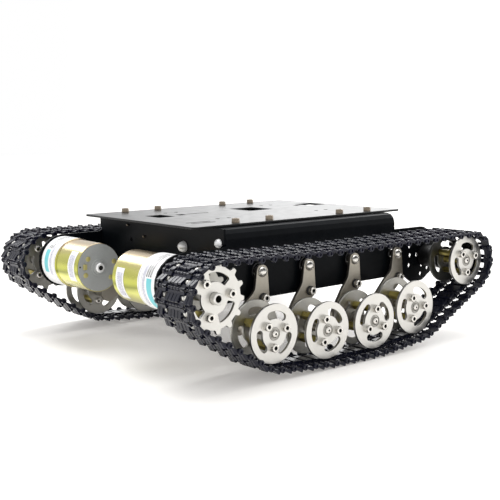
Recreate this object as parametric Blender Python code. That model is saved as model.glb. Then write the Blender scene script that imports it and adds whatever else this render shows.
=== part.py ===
"""Tracked tank chassis with swing-arm road wheels and two rear gearmotors.

The sheet-metal hull carries four trailing swing arms on each side, an idler at the
front and a geared motor with a toothed sprocket at the rear. A link track runs round
them. The frame is metres, +X forwards, +Y left, +Z up, with the origin on the ground
under the middle of the tracks. Lengths below are in millimetres and MM scales them.
"""
import math

import bmesh
import bpy
from mathutils import Vector
from mathutils.geometry import tessellate_polygon

MM = 0.001

# Hull
DECK_TOP = 93.0
SHEET = 1.5
DECK_REAR, DECK_FRONT = -95.6, 98.6
DECK_HALF_WIDTH = 71.0
DECK_GAP = 0.3
SIDE_OUT = 79.2
SIDE_IN = SIDE_OUT - SHEET
SIDE_BOTTOM = 42.5
HULL_REAR, HULL_FRONT = -75.9, 82.5
EXTENSION_TOP = 79.0
BEND_RADIUS = 7.0
FLANGE_WIDTH = 12.0
BEND_STEPS = 3
DECK_SCREW_Y = 64.0
DECK_SCREW_X = {-1: (-56.0, -26.6, 40.5, 69.4), 1: (-64.1, -34.3, 29.6, 59.2)}
SCREW_HEAD_RADIUS, SCREW_HEAD_HEIGHT = 2.75, 3.0

# Drive: the gearbox's shaft sits below and behind the motor's middle
SPROCKET_X, SPROCKET_Z = -115.8, 56.3
TEETH = 14
TOOTH_TIP = 22.3
TOOTH_ROOT = 19.4
TOOTH_PHASE = {-1: 45.1, 1: 38.2}
MOTOR_X, MOTOR_Z = SPROCKET_X + 4.6, SPROCKET_Z + 2.5
GEARBOX_RADIUS = 18.2
CAN_RADIUS = 17.4
MOTOR_INNER_END = 23.4
GEARBOX_LENGTH = 21.8
EAR_RADIUS = 19.6
SHELL = 1.2

# Wheels: two discs each, outer and inner
DISC_OUT, DISC_IN = 118.8, 99.7
DISC_THICK = 2.0
WHEEL_RADIUS = 19.0
IDLER_X, IDLER_Z, IDLER_RADIUS = 117.2, 56.3, 18.0
SPINDLE_RADIUS = 2.6
SPINDLE_HOLE = 3.2
STANDOFF_RADIUS = 2.9
GAP = 0.3
ROUND_STEPS = 22

# Swing arms: pivots on the side plates, wheel spindles behind and below them
ARM_PIVOT_X = (-50.5, -8.6, 35.6, 80.6)
ARM_PIVOT_Z = 61.3
WHEEL_X, WHEEL_Z = (-69.9, -24.4, 19.8, 60.9), (28.2, 23.9, 23.9, 28.2)
ARM_IN = SIDE_OUT + 3.2
ARM_OUT = ARM_IN + 2.5
ARM_STOP_DROP = 17.4

# Track: heights are measured outwards from the pitch line through the hinge pins
TRACK_CENTRE, TRACK_WIDTH = 109.25, 38.2
TRACK_INNER, TRACK_NOTCH, TRACK_OUTER = -1.1, 2.6, 3.5
LINKS = 65
TOP_SAG = 1.3
SAG_RADIUS = 2800.0
END_WHEEL_EASE = 0.6


# ---------------------------------------------------------------- outlines

def arc(x, z, radius, start, end, steps):
    """Points on an arc, angles in degrees, both ends included."""
    points = []
    for i in range(steps + 1):
        a = math.radians(start + (end - start) * i / steps)
        points.append((x + radius * math.cos(a), z + radius * math.sin(a)))
    return points


def circle(x, z, radius, steps):
    return arc(x, z, radius, 0, 360, steps)[:-1]


def rounded(corners, steps=3):
    """Polygon whose corners (x, z, fillet radius) are rounded with arcs."""
    points = []
    count = len(corners)
    for i, (x, z, radius) in enumerate(corners):
        here = Vector((x, z))
        before = (Vector(corners[i - 1][:2]) - here).normalized()
        after = (Vector(corners[(i + 1) % count][:2]) - here).normalized()
        if radius <= 0:
            points.append((x, z))
            continue
        half = before.angle(after) / 2
        centre = here + (before + after).normalized() * (radius / math.sin(half))
        first = here + before * (radius / math.tan(half)) - centre
        last = here + after * (radius / math.tan(half)) - centre
        sweep = first.angle_signed(last)
        for k in range(steps + 1):
            turn = -sweep * k / steps
            spoke = Vector((first.x * math.cos(turn) - first.y * math.sin(turn),
                            first.x * math.sin(turn) + first.y * math.cos(turn)))
            points.append(tuple(centre + spoke))
    return points


def arc_window(x, z, inner, outer, middle, span, steps=3):
    """Curved window between two radii, centred on an angle."""
    a, b = middle - span / 2, middle + span / 2
    return arc(x, z, outer, a, b, steps) + arc(x, z, inner, b, a, steps)


def box_outline(x0, x1, z0, z1):
    return [(x0, z0), (x1, z0), (x1, z1), (x0, z1)]


# ---------------------------------------------------------------- solids

def material(name, colour, metallic, roughness):
    shader = bpy.data.materials.new(name)
    shader.use_nodes = True
    surface = shader.node_tree.nodes["Principled BSDF"]
    surface.inputs["Base Color"].default_value = (*colour, 1.0)
    surface.inputs["Metallic"].default_value = metallic
    surface.inputs["Roughness"].default_value = roughness
    shader.diffuse_color = (*colour, 1.0)
    return shader


def make_object(name, bm, finish, pivot=None):
    """Mesh object from millimetre geometry, with its origin on a pivot if given."""
    bmesh.ops.recalc_face_normals(bm, faces=bm.faces)
    if bm.calc_volume(signed=True) < 0:
        bmesh.ops.reverse_faces(bm, faces=bm.faces)
    origin = Vector(pivot) if pivot else Vector((0, 0, 0))
    for vertex in bm.verts:
        vertex.co = (vertex.co - origin) * MM
    mesh = bpy.data.meshes.new(name)
    bm.to_mesh(mesh)
    bm.free()
    mesh.materials.append(finish)
    mesh.shade_smooth()
    mesh.set_sharp_from_angle(angle=math.radians(35))
    body = bpy.data.objects.new(name, mesh)
    body.location = origin * MM
    bpy.context.scene.collection.objects.link(body)
    return body


def prism(loops, place_low, place_high):
    """Closed solid between two copies of an outline with holes.

    place_low and place_high turn an outline point into a 3-D point.
    """
    bm = bmesh.new()
    low, high = [], []
    for loop in loops:
        low.append([bm.verts.new(place_low(p)) for p in loop])
        high.append([bm.verts.new(place_high(p)) for p in loop])
    flat = [[Vector((p[0], p[1], 0)) for p in loop] for loop in loops]
    all_low = [v for ring in low for v in ring]
    all_high = [v for ring in high for v in ring]
    for a, b, c in tessellate_polygon(flat):
        bm.faces.new((all_low[a], all_low[b], all_low[c]))
        bm.faces.new((all_high[c], all_high[b], all_high[a]))
    for ring_low, ring_high in zip(low, high):
        for i in range(len(ring_low)):
            j = (i + 1) % len(ring_low)
            bm.faces.new((ring_low[i], ring_low[j], ring_high[j], ring_high[i]))
    return bm


def side_prism(loops, side, near, far):
    """Prism whose outline lies in X and Z, from |Y| near to |Y| far on one side."""
    return prism(loops, lambda p: (p[0], side * near, p[1]), lambda p: (p[0], side * far, p[1]))


def turned(profile, side, x, z, steps, bored=False):
    """Solid of revolution about the Y line through x, z; profile is (|Y|, radius)."""
    bm = bmesh.new()
    rings = []
    for y, radius in profile:
        if radius == 0:
            rings.append([bm.verts.new((x, side * y, z))])
            continue
        rings.append([bm.verts.new((px, side * y, pz)) for px, pz in circle(x, z, radius, steps)])
    pairs = list(zip(rings, rings[1:]))
    if bored:
        pairs.append((rings[-1], rings[0]))
    for one, two in pairs:
        for i in range(steps):
            j = (i + 1) % steps
            if len(one) == 1:
                bm.faces.new((one[0], two[j], two[i]))
            elif len(two) == 1:
                bm.faces.new((one[i], one[j], two[0]))
            else:
                bm.faces.new((one[i], one[j], two[j], two[i]))
    return bm


def combine(body, other, operation="UNION"):
    """Boolean with a helper object, which stays in the file as a guide only."""
    other.hide_render = True
    other.display_type = "WIRE"
    step = body.modifiers.new(operation.title() + " " + other.name, "BOOLEAN")
    step.operation = operation
    step.solver = "EXACT"
    step.object = other


# ---------------------------------------------------------------- track path

def track_path():
    """The track's pitch line as a loop of (start, end, circle) turns.

    Circles are (x, z, signed radius); the loop runs forwards along the top and
    back along the ground. The sagging top run is one very large reversed circle.
    """
    top = (SPROCKET_Z + pitch_radius() + IDLER_Z + IDLER_RADIUS + GAP - TRACK_INNER) / 2
    rounds = [(SPROCKET_X, SPROCKET_Z, pitch_radius()),
              (0, top - TOP_SAG + SAG_RADIUS, -SAG_RADIUS),
              (IDLER_X, IDLER_Z, IDLER_RADIUS + GAP - TRACK_INNER)]
    for i in (3, 2, 1, 0):
        ease = END_WHEEL_EASE if i == 0 else 0
        rounds.append((WHEEL_X[i], WHEEL_Z[i], WHEEL_RADIUS + GAP - TRACK_INNER + ease))
    headings = []
    for here, after in zip(rounds, rounds[1:] + rounds[:1]):
        dx, dz = after[0] - here[0], after[1] - here[1]
        headings.append(math.atan2(dz, dx) - math.asin((here[2] - after[2]) / math.hypot(dx, dz)))
    turns = []
    for i, here in enumerate(rounds):
        start, end = headings[i - 1], headings[i]
        turn = (start - end + math.pi) % (2 * math.pi) - math.pi
        turns.append((here, start, start - turn))
    return turns


def pitch_radius():
    """Radius at which the track's hinge line wraps the sprocket."""
    return TOOTH_ROOT + 0.35 - TRACK_INNER


def path_length_and_sampler():
    """Length of the pitch line, and a function from distance to point and heading."""
    pieces = []
    turns = track_path()
    total = 0.0
    for i, ((x, z, r), start, end) in enumerate(turns):
        length = r * (start - end)
        pieces.append((total, length, "turn", (x, z, r, start)))
        total += length
        (x2, z2, r2), start2, _ = turns[(i + 1) % len(turns)]
        leave = Vector((x - r * math.sin(end), z + r * math.cos(end)))
        arrive = Vector((x2 - r2 * math.sin(start2), z2 + r2 * math.cos(start2)))
        run = (arrive - leave).length
        pieces.append((total, run, "run", (leave, end)))
        total += run

    def at(distance):
        distance %= total
        for begin, length, kind, data in pieces:
            if distance <= begin + length:
                break
        s = distance - begin
        if kind == "run":
            leave, heading = data
            return leave + Vector((math.cos(heading), math.sin(heading))) * s, heading
        x, z, r, start = data
        heading = start - s / r
        return Vector((x - r * math.sin(heading), z + r * math.cos(heading))), heading

    return total, at


# ---------------------------------------------------------------- hull

def deck_plate(finish):
    """Flat equipment plate with its cut-outs; it overhangs the hull front and rear."""
    outline = rounded([(DECK_REAR, -DECK_HALF_WIDTH, 3), (DECK_FRONT, -DECK_HALF_WIDTH, 3),
                       (DECK_FRONT, DECK_HALF_WIDTH, 3), (DECK_REAR, DECK_HALF_WIDTH, 3)])
    windows = [box_outline(-72.5, -58.5, 4, 23),
               box_outline(-51, -44.5, 9, 15.5),
               box_outline(-42.5, -22.5, 12, 14),
               box_outline(9, 32, 1.5, 28),
               box_outline(66, 71, 12, 17),
               box_outline(75, 93, 5.5, 25),
               box_outline(-82, -62, -44.5, -42.5),
               box_outline(-82, -62, -50.5, -48.5)]
    small = [circle(x, y, 1.6, 8) for x in (-48, -38, 46, 56) for y in (-33, 33)]
    bottom = DECK_TOP - SHEET
    bm = prism([outline] + windows + small,
               lambda p: (p[0], p[1], bottom), lambda p: (p[0], p[1], DECK_TOP))
    deck = make_object("deck_plate", bm, finish)
    for side in (-1, 1):
        for x in DECK_SCREW_X[side]:
            combine(deck, deck_screw(x, side, finish))


def deck_screw(x, side, finish):
    """Head of an upright cap screw over the side plate's flange."""
    seat, top = DECK_TOP - SHEET / 2, DECK_TOP + SCREW_HEAD_HEIGHT
    bm = prism([circle(x, side * DECK_SCREW_Y, SCREW_HEAD_RADIUS, 12)],
               lambda p: (p[0], p[1], seat), lambda p: (p[0], p[1], top))
    name = "deck_screw_" + ("left" if side > 0 else "right") + str(round(x))
    return make_object(name, bm, finish)


def side_plate(name, side, finish):
    """Side sheet: motor ear behind, idler ear in front, top edge bent in as a flange."""
    straight = DECK_TOP - SHEET - DECK_GAP - BEND_RADIUS
    bend_length = (BEND_RADIUS - SHEET / 2) * math.pi / 2
    top = straight + bend_length + FLANGE_WIDTH
    ear_top = MOTOR_Z + EAR_RADIUS
    outline = arc(MOTOR_X, MOTOR_Z, EAR_RADIUS, 270, 90, 12)
    outline += [(HULL_REAR - 4, ear_top), (HULL_REAR, ear_top + 2)]
    outline += [(HULL_REAR, top), (HULL_FRONT, top)]
    outline += rounded([(HULL_FRONT, EXTENSION_TOP, 2.5), (118, EXTENSION_TOP, 12),
                        (134, 64, 8), (131, 47, 10), (115, 37, 6), (102, 37, 6),
                        (94, SIDE_BOTTOM, 4)])
    outline += [(-81, SIDE_BOTTOM)]
    holes = [circle(SPROCKET_X, SPROCKET_Z, 6.6, 12), circle(IDLER_X, IDLER_Z, 4.0, 10)]
    holes += [circle(x, ARM_PIVOT_Z, SPINDLE_HOLE, 10) for x in ARM_PIVOT_X]
    ear_holes = ((100.7, 64.6), (101.4, 57.7), (108.9, 57.3), (100.3, 50.0),
                 (114.8, 49.0), (121.3, 46.3), (113.5, 42.3))
    holes += [circle(x, z, 1.8, 6) for x, z in ear_holes]
    flange_y = straight + bend_length + SIDE_IN + SHEET - BEND_RADIUS - DECK_SCREW_Y
    holes += [circle(x, flange_y, 1.9, 8) for x in DECK_SCREW_X[side]]
    bm = prism([outline] + holes, lambda p: (p[0], p[1], 0), lambda p: (p[0], p[1], SHEET))
    for i in range(BEND_STEPS + 1):
        height = straight + bend_length * i / BEND_STEPS
        geometry = bm.verts[:] + bm.edges[:] + bm.faces[:]
        bmesh.ops.bisect_plane(bm, geom=geometry, plane_co=(0, height, 0), plane_no=(0, 1, 0),
                               dist=1e-4)
    for vertex in bm.verts:
        x, height, depth = vertex.co
        past = height - straight
        angle = min(max(past, 0), bend_length) / bend_length * math.pi / 2
        radius = BEND_RADIUS - SHEET + depth
        inward = SIDE_OUT - BEND_RADIUS + radius * math.cos(angle)
        rise = straight + radius * math.sin(angle) if past > 0 else height
        inward -= max(past - bend_length, 0)
        vertex.co = (x, side * inward, rise)
    return make_object(name, bm, finish)


def cross_panel(name, x_low, x_high, outline, holes, finish):
    """Sheet across the hull; its outline lies in Y and Z."""
    bm = prism([outline] + holes, lambda p: (x_low, p[0], p[1]), lambda p: (x_high, p[0], p[1]))
    return make_object(name, bm, finish)


def hull(finish):
    deck_plate(finish)
    side_plate("right_side_plate", -1, finish)
    side_plate("left_side_plate", 1, finish)
    inner = SIDE_IN - GAP
    panel_top = DECK_TOP - SHEET - DECK_GAP
    notch = MOTOR_Z + EAR_RADIUS + 2.8
    rear = [(-inner, SIDE_BOTTOM), (inner, SIDE_BOTTOM), (inner, notch), (SIDE_OUT, notch),
            (SIDE_OUT, panel_top), (-SIDE_OUT, panel_top), (-SIDE_OUT, notch), (-inner, notch)]
    screws = [circle(y, 75.5, 1.7, 8) for y in (-34, 34)]
    cross_panel("rear_panel", HULL_REAR - GAP - SHEET, HULL_REAR - GAP, rear, screws, finish)
    shoulder = DECK_TOP - SHEET - DECK_GAP - BEND_RADIUS - 1
    front = [(-inner, SIDE_BOTTOM), (inner, SIDE_BOTTOM), (inner, shoulder),
             (inner - 7, panel_top - 2), (-inner + 7, panel_top - 2), (-inner, shoulder)]
    cross_panel("front_panel", HULL_FRONT - 4.5, HULL_FRONT - 3, front, screws, finish)


# ---------------------------------------------------------------- drive

def motor(name, side, finishes):
    """Gearbox, motor can and end cap of one gearmotor, axis across the hull."""
    face = SIDE_IN - GAP
    joint = face - GEARBOX_LENGTH
    x, z = MOTOR_X, MOTOR_Z
    inside = GEARBOX_RADIUS - SHELL
    gearbox = turned([(joint, 0), (joint, GEARBOX_RADIUS - 0.8), (joint + 0.8, GEARBOX_RADIUS),
                      (face, GEARBOX_RADIUS), (face, 5), (face - SHELL, 5), (face - SHELL, inside),
                      (joint + SHELL, inside), (joint + SHELL, 0)], side, x, z, ROUND_STEPS)
    box = make_object(name + "_gearbox", gearbox, finishes["zinc"])
    boss = turned([(face - 3, 0), (face - 3, 6.1), (SIDE_OUT + 1.8, 6.1), (SIDE_OUT + 1.8, 0)],
                  side, SPROCKET_X, SPROCKET_Z, 14)
    combine(box, make_object(name + "_gearbox_boss", boss, finishes["zinc"]))
    rim = MOTOR_INNER_END + 1.2
    hollow = CAN_RADIUS - SHELL
    can = turned([(joint - GAP, 0), (joint - GAP, CAN_RADIUS), (rim, CAN_RADIUS), (rim, hollow),
                  (joint - 3, hollow), (joint - 3, 0)], side, x, z, ROUND_STEPS)
    make_object(name + "_motor_can", can, finishes["zinc"])
    cap = turned([(rim + 4, 0), (rim + 4, hollow - GAP), (rim - GAP, hollow - GAP),
                  (rim - GAP, CAN_RADIUS - 0.2), (MOTOR_INNER_END + 0.4, CAN_RADIUS - 0.6),
                  (MOTOR_INNER_END + 0.4, 4.6),
                  (MOTOR_INNER_END - 2.2, 4.2), (MOTOR_INNER_END - 2.2, 0)],
                 side, x, z, ROUND_STEPS)
    make_object(name + "_motor_cap", cap, finishes["cap"])


def disc_plane(outer):
    middle = DISC_OUT if outer else DISC_IN
    return middle - DISC_THICK / 2, middle + DISC_THICK / 2


def sprocket_outline(side):
    """Toothed rim of blunt tabs."""
    points = []
    pitch = 360 / TEETH
    for i in range(TEETH):
        middle = TOOTH_PHASE[side] + i * pitch
        for radius, offset in ((TOOTH_ROOT, -5.6), (TOOTH_TIP, -3.0),
                               (TOOTH_TIP, 3.0), (TOOTH_ROOT, 5.6)):
            a = math.radians(middle + offset)
            points.append((SPROCKET_X + radius * math.cos(a), SPROCKET_Z + radius * math.sin(a)))
    return points


def screw_places(x, z, radius, first):
    return [arc(x, z, radius, first + 120 * i, first + 120 * i, 1)[0] for i in range(3)]


def add_standoffs(body, name, side, x, z, radius, first, finish):
    """Three hexagonal spacers that reach from the inner disc to the outer one."""
    for i, (px, pz) in enumerate(screw_places(x, z, radius, first)):
        start = DISC_IN + DISC_THICK / 2 - 0.4
        bm = side_prism([circle(px, pz, STANDOFF_RADIUS, 6)], side, start, disc_plane(True)[0] - GAP)
        combine(body, make_object(name + "_standoff_" + str(i + 1), bm, finish))


def sprocket(name, side, finishes):
    x, z = SPROCKET_X, SPROCKET_Z
    rim = sprocket_outline(side)
    for outer, word in ((True, "outer"), (False, "inner")):
        windows = [arc_window(x, z, 10, 15.6, 74 + 120 * i, 62) for i in range(3)]
        bm = side_prism([rim, circle(x, z, 4.1, 12)] + windows, side, *disc_plane(outer))
        disc = make_object(name + "_sprocket_" + word, bm, finishes["steel"], (x, 0, z))
        if not outer:
            add_standoffs(disc, name + "_sprocket", side, x, z, 11.8, 8, finishes["steel"])
    tip = DISC_OUT + 5.2
    flange = SIDE_OUT + 7.8
    hub = turned([(SIDE_OUT + 2.1, 0), (SIDE_OUT + 2.1, 3), (flange, 3), (flange, 7),
                  (flange + 3.5, 7), (flange + 3.5, 3.7), (tip, 3.7), (tip, 2.1),
                  (DISC_OUT - 2, 2.1), (DISC_OUT - 2, 0)], side, x, z, 16)
    make_object(name + "_drive_hub", hub, finishes["steel"], (x, 0, z))


# ---------------------------------------------------------------- wheels

def wheel_disc(name, side, x, z, radius, outer, slot_angle, finishes):
    """Flat disc with three curved windows; the inner one also carries the spacers."""
    outline = circle(x, z, radius, ROUND_STEPS + 2)
    windows = [arc_window(x, z, radius - 9.4, radius - 4.6, slot_angle + 120 * i, 62, 2)
               for i in range(3)]
    bm = side_prism([outline, circle(x, z, SPINDLE_HOLE, 10)] + windows, side, *disc_plane(outer))
    disc = make_object(name + ("_outer" if outer else "_inner"), bm, finishes["steel"], (x, 0, z))
    if not outer:
        add_standoffs(disc, name, side, x, z, 8.6, slot_angle + 60, finishes["steel"])
    return disc


def wheel(name, side, x, z, radius, slot_angle, finishes):
    for outer in (True, False):
        wheel_disc(name, side, x, z, radius, outer, slot_angle, finishes)


def idler(name, side, finishes):
    wheel(name + "_idler", side, IDLER_X, IDLER_Z, IDLER_RADIUS, 82, finishes)
    axle = turned([(SIDE_IN - 4, 0), (SIDE_IN - 4, 3), (SIDE_OUT + GAP, 3), (SIDE_OUT + GAP, 8.4),
                   (DISC_IN - 3, 8.4), (DISC_IN - 3, SPINDLE_RADIUS),
                   (DISC_OUT + 2.2, SPINDLE_RADIUS), (DISC_OUT + 2.2, 0)],
                  side, IDLER_X, IDLER_Z, 16)
    make_object(name + "_idler_axle", axle, finishes["dark"], (IDLER_X, 0, IDLER_Z))


def swing_arm(name, side, i, finishes):
    """Flat arm with a pivot pin through the side plate and a spindle for its wheel."""
    px, pz = ARM_PIVOT_X[i], ARM_PIVOT_Z
    wx, wz = WHEEL_X[i], WHEEL_Z[i]
    outline = arc(px, pz, 4.8, -4, 186, 7)
    outline += [(px - 6.4, pz - 11.5), (px - 7.6, pz - 13.8), (wx - 5.5, wz + 8.5)]
    outline += arc(wx, wz, 6.8, 170, 310, 5)
    outline += arc(px + 0.6, pz - ARM_STOP_DROP, 5.4, 290, 356, 3)
    bm = side_prism([outline], side, ARM_IN, ARM_OUT)
    arm = make_object(name, bm, finishes["plate"], (px, 0, pz))
    pin = turned([(SIDE_IN, 0), (SIDE_IN, SPINDLE_RADIUS), (ARM_OUT - 1, SPINDLE_RADIUS),
                  (ARM_OUT - 1, 0)], side, px, pz, 12)
    combine(arm, make_object(name + "_pin", pin, finishes["plate"], (px, 0, pz)))
    spindle = turned([(ARM_IN + 1, 0), (ARM_IN + 1, 4.4), (DISC_IN - 3, 4.4),
                      (DISC_IN - 3, SPINDLE_RADIUS), (DISC_OUT + 2.2, SPINDLE_RADIUS),
                      (DISC_OUT + 2.2, 0)], side, wx, wz, 12)
    combine(arm, make_object(name + "_spindle", spindle, finishes["plate"], (wx, 0, wz)))


def spring(name, side, i, finishes):
    """Torsion spring round the pivot pin, kept as one plain ring."""
    low, high = SIDE_OUT + GAP, ARM_IN - GAP
    bm = turned([(low, 4), (low, 6.4), (high, 6.4), (high, 4)],
                side, ARM_PIVOT_X[i], ARM_PIVOT_Z, 9, bored=True)
    make_object(name, bm, finishes["dark"], (ARM_PIVOT_X[i], 0, ARM_PIVOT_Z))


# ---------------------------------------------------------------- track

def track(name, side, finishes):
    """Link track as one closed band: a raised block per link, notches between them."""
    total, at = path_length_and_sampler()
    pitch = total / LINKS
    low, high = side * (TRACK_CENTRE - TRACK_WIDTH / 2), side * (TRACK_CENTRE + TRACK_WIDTH / 2)
    bm = bmesh.new()
    sections = []
    for i in range(LINKS):
        for share, height in ((0.0, TRACK_NOTCH), (0.18, TRACK_OUTER), (0.82, TRACK_OUTER)):
            point, heading = at((i + share) * pitch)
            section = []
            for y, rise in ((low, TRACK_INNER), (high, TRACK_INNER), (high, height), (low, height)):
                section.append(bm.verts.new((point.x - rise * math.sin(heading), y,
                                             point.y + rise * math.cos(heading))))
            sections.append(section)
    for one, two in zip(sections, sections[1:] + sections[:1]):
        for k in range(4):
            bm.faces.new((one[k], one[k - 1], two[k - 1], two[k]))
    band = make_object(name, bm, finishes["track"])
    for row, middle in (("outer", DISC_OUT), ("inner", DISC_IN)):
        half = DISC_THICK / 2 + 0.6
        reach = TOOTH_TIP + 0.4
        groove = turned([(middle - half, 0), (middle - half, reach), (middle + half, reach),
                         (middle + half, 0)], side, SPROCKET_X, SPROCKET_Z, 30)
        cutter = make_object(name + "_tooth_groove_" + row, groove, finishes["track"])
        combine(band, cutter, "DIFFERENCE")


def main():
    for old in list(bpy.data.objects):
        bpy.data.objects.remove(old)
    finishes = {
        "black": material("black_sheet", (0.02, 0.022, 0.026), 0.0, 0.42),
        "steel": material("brushed_disc", (0.72, 0.71, 0.68), 1.0, 0.34),
        "plate": material("arm_steel", (0.50, 0.48, 0.44), 1.0, 0.38),
        "zinc": material("yellow_zinc", (0.70, 0.64, 0.28), 1.0, 0.3),
        "cap": material("grey_cap", (0.24, 0.25, 0.26), 0.0, 0.5),
        "dark": material("dark_steel", (0.12, 0.12, 0.125), 1.0, 0.4),
        "track": material("track_plastic", (0.018, 0.02, 0.03), 0.0, 0.38),
    }
    hull(finishes["black"])
    slot_angles = (80, 53, 30, 62)
    for name, side in (("right", -1), ("left", 1)):
        motor(name, side, finishes)
        sprocket(name, side, finishes)
        idler(name, side, finishes)
        for i in range(4):
            number = "_" + str(i + 1)
            swing_arm(name + "_arm" + number, side, i, finishes)
            spring(name + "_spring" + number, side, i, finishes)
            wheel(name + "_wheel" + number, side, WHEEL_X[i], WHEEL_Z[i], WHEEL_RADIUS,
                  slot_angles[i], finishes)
        track(name + "_track", side, finishes)


main()
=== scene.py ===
"""Looks of the tracked tank chassis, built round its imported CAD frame.

Lengths are in millimetres and MM scales them. +X is forwards, +Y left and +Z up.
"Outline" points lie in a place's first two axes and "depth" runs along its third.
"""
import math

import bmesh
import bpy
import numpy as np
from mathutils import Matrix, Vector
from mathutils.geometry import tessellate_polygon


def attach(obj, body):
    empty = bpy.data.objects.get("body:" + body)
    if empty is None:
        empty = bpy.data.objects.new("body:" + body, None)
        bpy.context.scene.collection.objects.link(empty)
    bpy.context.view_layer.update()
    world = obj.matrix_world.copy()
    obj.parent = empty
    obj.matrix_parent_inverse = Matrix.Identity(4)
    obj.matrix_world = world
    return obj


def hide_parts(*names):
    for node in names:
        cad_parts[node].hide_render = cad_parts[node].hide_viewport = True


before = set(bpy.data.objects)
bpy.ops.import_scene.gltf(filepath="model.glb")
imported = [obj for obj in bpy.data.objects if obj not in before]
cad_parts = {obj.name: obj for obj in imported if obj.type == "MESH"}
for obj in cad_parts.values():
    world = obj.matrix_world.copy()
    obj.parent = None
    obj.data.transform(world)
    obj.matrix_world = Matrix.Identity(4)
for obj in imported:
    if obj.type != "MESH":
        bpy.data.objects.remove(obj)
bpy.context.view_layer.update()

MM = 0.001

# Hull: cut-outs are (x from, x to, y from, y to), rear heads (y, z, radius, height)
DECK_TOP, SHEET = 93.0, 1.5
DECK_REAR, DECK_FRONT, DECK_HALF_WIDTH = -95.6, 98.6, 71.0
DECK_SCREW_Y = 64.0
DECK_SCREW_X = {-1: (-56.0, -26.6, 40.5, 69.4), 1: (-64.1, -34.3, 29.6, 59.2)}
DECK_CUTOUTS = ((-72.5, -58.5, 4, 23), (-51, -44.5, 9, 15.5), (-42.5, -22.5, 12, 14),
                (9, 32, 1.5, 28), (66, 71, 12, 17), (75, 93, 5.5, 25),
                (-82, -62, -44.5, -42.5), (-82, -62, -50.5, -48.5))
DECK_HOLE_X, DECK_HOLE_Y, DECK_HOLE_RADIUS = (-48, -38, 46, 56), (-33, 33), 1.6
REAR_PANEL_FACE = -77.7
REAR_HEADS = ((-34, 76, 3.9, 4.6), (-74, 81.5, 3.1, 3.2))
REAR_STUDS, REAR_STUD_RADIUS = ((38, 86), (16, 79)), 0.9
SIDE_OUT = 79.2

# Drive: the gearbox's shaft sits below and behind the motor's middle. A tooth's flank is
# (rise, angle from its middle)
SPROCKET_X, SPROCKET_Z = -115.8, 56.3
TEETH, TOOTH_ROOT = 14, 19.4
TOOTH_PHASE = {-1: 45.1, 1: 38.2}
TOOTH_FLANK = ((0.0, 7.6), (0.12, 6.6), (0.5, 5.7), (1.2, 4.9), (2.0, 4.1), (2.5, 3.4),
               (2.82, 2.4), (2.9, 1.2))
WINDOW_INNER, WINDOW_OUTER, WINDOW_ANGLE, WINDOW_SPAN = 9.9, 15.6, 74, 64
SPROCKET_SCREW_ANGLE, SPROCKET_BORE = 8, 3.8
MOTOR_X, MOTOR_Z = -111.2, 58.8
GEARBOX_RADIUS, CAN_RADIUS = 18.2, 17.4
GEARBOX_FACE, GEARBOX_JOINT, CAN_RIM, CAP_FACE = 77.4, 55.6, 24.0, 23.8

# Motor labels: start and span of the stripe and start of the can's label, in degrees;
# then depths along the motor, and for the plain bands a finish number
LABEL_TURN = {-1: (165, 95, 154), 1: (146, 54, 138)}
LABEL_BANDS = ((56.4, 57.5, 1), (57.5, 57.9, 3), (57.9, 60.6, 1), (60.6, 60.9, 3),
               (60.9, 76.8, 1))
STRIPE_DEPTHS, PRINT_DEPTHS, RULED_DEPTHS = (66.8, 72.4), (65.4, 72.4), (62.0, 64.6)
CAN_LABEL_DEPTHS, CAN_CODE_DEPTHS = (28.5, 38.0), (30.2, 36.6)

# Motor end cap: terminals are (angle, distance from the middle)
TERMINALS, TERMINAL_RADIUS = ((142, 11.0), (203, 11.8), (16, 12.6), (-40, 12.0)), 1.8
COLLAR_RADIUS, SHAFT_RADIUS, OUTPUT_BOSS_RADIUS = 3.4, 1.7, 6.1

# Wheels: two discs each, outer and inner
DISC_OUT, DISC_IN, DISC_THICK = 118.8, 99.7, 2.0
WHEEL_X, WHEEL_Z, WHEEL_RADIUS = (-69.9, -24.4, 19.8, 60.9), (28.2, 23.9, 23.9, 28.2), 19.0
IDLER_X, IDLER_Z, IDLER_RADIUS = 117.2, 56.3, 18.0
SLOT_ANGLES, IDLER_SLOT_ANGLE = (80, 53, 30, 62), 82
WHEEL_SCREW_RADIUS, SPROCKET_SCREW_RADIUS = 8.6, 11.8
SLOT_INSET, SLOT_HALF_WIDTH, SLOT_SPAN = 7, 2.35, 52
STANDOFF_RADIUS, IDLER_STANDOFF_RADIUS = 3.1, 2.3
SPINDLE_RADIUS, BEARING_BORE, BEARING_RADIUS = 2.6, 2.75, 4.2
SPINDLE_END, SPINDLE_SCREW_RADIUS, BACK_SCREW_RADIUS = DISC_OUT + 0.7, 2.4, 2.7
GAP = 0.3

# Swing arms
ARM_PIVOT_X, ARM_PIVOT_Z = (-50.5, -8.6, 35.6, 80.6), 61.3
ARM_IN, ARM_OUT = 82.4, 84.9
ARM_STOP_AHEAD, ARM_STOP_DROP = 0.6, 17.4
ARM_TOP_RADIUS, ARM_FOOT_RADIUS, ARM_LOBE_RADIUS = 4.8, 6.8, 5.4

# Track: heights are measured outwards from the pitch line through the hinge pins
TRACK_CENTRE, TRACK_WIDTH = 109.25, 38.2
TRACK_INNER, TRACK_OUTER = -1.1, 3.5
LINKS = 65
TOP_SAG, SAG_RADIUS, END_WHEEL_EASE = 1.3, 2800.0, 0.6

# Socket-head M3 screws
HEAD_RADIUS, HEAD_HEIGHT, HEX_APOTHEM = 2.75, 3.0, 1.25
SHANK_RADIUS, SHANK_LENGTH = 1.4, 4


# ---------------------------------------------------------------- places

UPRIGHT = Matrix.Identity(4)
ON_REAR = Matrix(((0, 0, -1, 0), (1, 0, 0, 0), (0, 1, 0, 0), (0, 0, 0, 1)))


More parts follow.
